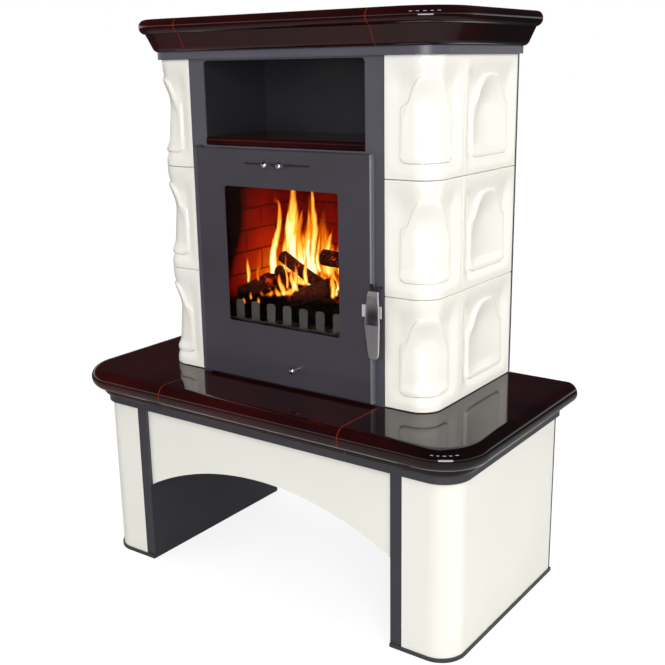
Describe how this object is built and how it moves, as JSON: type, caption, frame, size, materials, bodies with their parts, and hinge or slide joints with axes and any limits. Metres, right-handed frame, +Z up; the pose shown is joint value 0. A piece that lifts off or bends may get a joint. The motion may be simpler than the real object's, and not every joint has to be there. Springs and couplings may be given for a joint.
{
  "type": "tiled stove",
  "caption": "Free-standing wood stove with a glazed door, relief tiles, an open warming niche, a moulded cornice and a wide bench over a log store.",
  "frame": {"origin": "on the floor, in the middle of the whole plan, flue spigot and bench nose included", "axes": "+Z up, front with the door faces -Y, +X to the viewer's right"},
  "size_m": [1.0022, 0.5495, 1.1985],
  "materials": {
    "ivory_glaze": "gloss glaze",
    "ivory_enamel": "satin enamel on steel",
    "cherry_glaze": "deep gloss glaze",
    "anthracite_steel": "satin anthracite",
    "door_steel": "satin anthracite",
    "black_steel": "matt black",
    "zinc_steel": "zinc plated",
    "grey_metal": "brushed",
    "glass": "clear glass ceramic",
    "rope": "woven glass fibre",
    "chrome": "polished",
    "firebrick": "matt sooted",
    "cast_iron": "cast",
    "charred_wood": "charred bark"
  },
  "bodies": {
    "stove": {"arch_panel": "ivory_enamel", "ash_pan": "zinc_steel", "back_firebricks": "firebrick", "baffle_plate": "firebrick", "bench_slab_left": "cherry_glaze", "bench_slab_middle": "cherry_glaze", "bench_slab_right": "cherry_glaze", "bench_tray": "anthracite_steel", "body_frame": "anthracite_steel", "corner_tile_left_1": "ivory_glaze", "corner_tile_left_2": "ivory_glaze", "corner_tile_left_3": "ivory_glaze", "corner_tile_right_1": "ivory_glaze", "corner_tile_right_2": "ivory_glaze", "corner_tile_right_3": "ivory_glaze", "cornice_front": "cherry_glaze", "cornice_left": "cherry_glaze", "cornice_right": "cherry_glaze", "firebox_shell": "black_steel", "firewood": "charred_wood", "floor_firebricks": "firebrick", "front_panel": "anthracite_steel", "grate": "cast_iron", "hinge_pins": "anthracite_steel", "keeper_stud": "black_steel", "leg_frame_left": "anthracite_steel", "leg_frame_right": "anthracite_steel", "leg_panel_left": "ivory_enamel", "leg_panel_right": "ivory_enamel", "niche_liner": "black_steel", "niche_shelf": "cherry_glaze", "rear_cover": "anthracite_steel", "rear_cover_screws": "zinc_steel", "rear_strip_left": "anthracite_steel", "rear_strip_right": "anthracite_steel", "side_firebricks": "firebrick", "side_tile_left_1": "ivory_glaze", "side_tile_left_2": "ivory_glaze", "side_tile_left_3": "ivory_glaze", "side_tile_right_1": "ivory_glaze", "side_tile_right_2": "ivory_glaze", "side_tile_right_3": "ivory_glaze", "smoke_duct": "black_steel", "tile_rails": "black_steel", "top_band": "anthracite_steel", "top_plate": "anthracite_steel"},
    "door": {"door_panel": "door_steel", "door_liner": "black_steel", "door_liner_screws": "zinc_steel", "door_glass": "glass", "glass_gasket": "rope", "door_seal": "rope", "log_guard": "door_steel", "latch_plate": "grey_metal"},
    "handle": {"handle_lever": "grey_metal", "latch_hook": "black_steel"},
    "left_air": {"air_slide_left": "chrome"},
    "right_air": {"air_slide_right": "chrome"},
    "primary_air": {"primary_air_valve": "chrome"}
  },
  "joints": [
    {"name": "door_hinge", "type": "hinge", "parent": "stove", "child": "door", "pos_m": [-0.216, -0.12885, 0.695], "axis": [0, 0, -1], "range_deg": [0, 110]},
    {"name": "handle_turn", "type": "hinge", "parent": "door", "child": "handle", "pos_m": [0.231, -0.14075, 0.642], "axis": [0, -1, 0], "range_deg": [-4.9, 70]},
    {"name": "left_air_slide", "type": "slide", "parent": "door", "child": "left_air", "axis": [-1, 0, 0], "range_m": [0, 0.06]},
    {"name": "right_air_slide", "type": "slide", "parent": "door", "child": "right_air", "axis": [1, 0, 0], "range_m": [0, 0.06]},
    {"name": "primary_air_push", "type": "slide", "parent": "door", "child": "primary_air", "axis": [0, 1, 0], "range_m": [0, 0.008]}
  ]
}
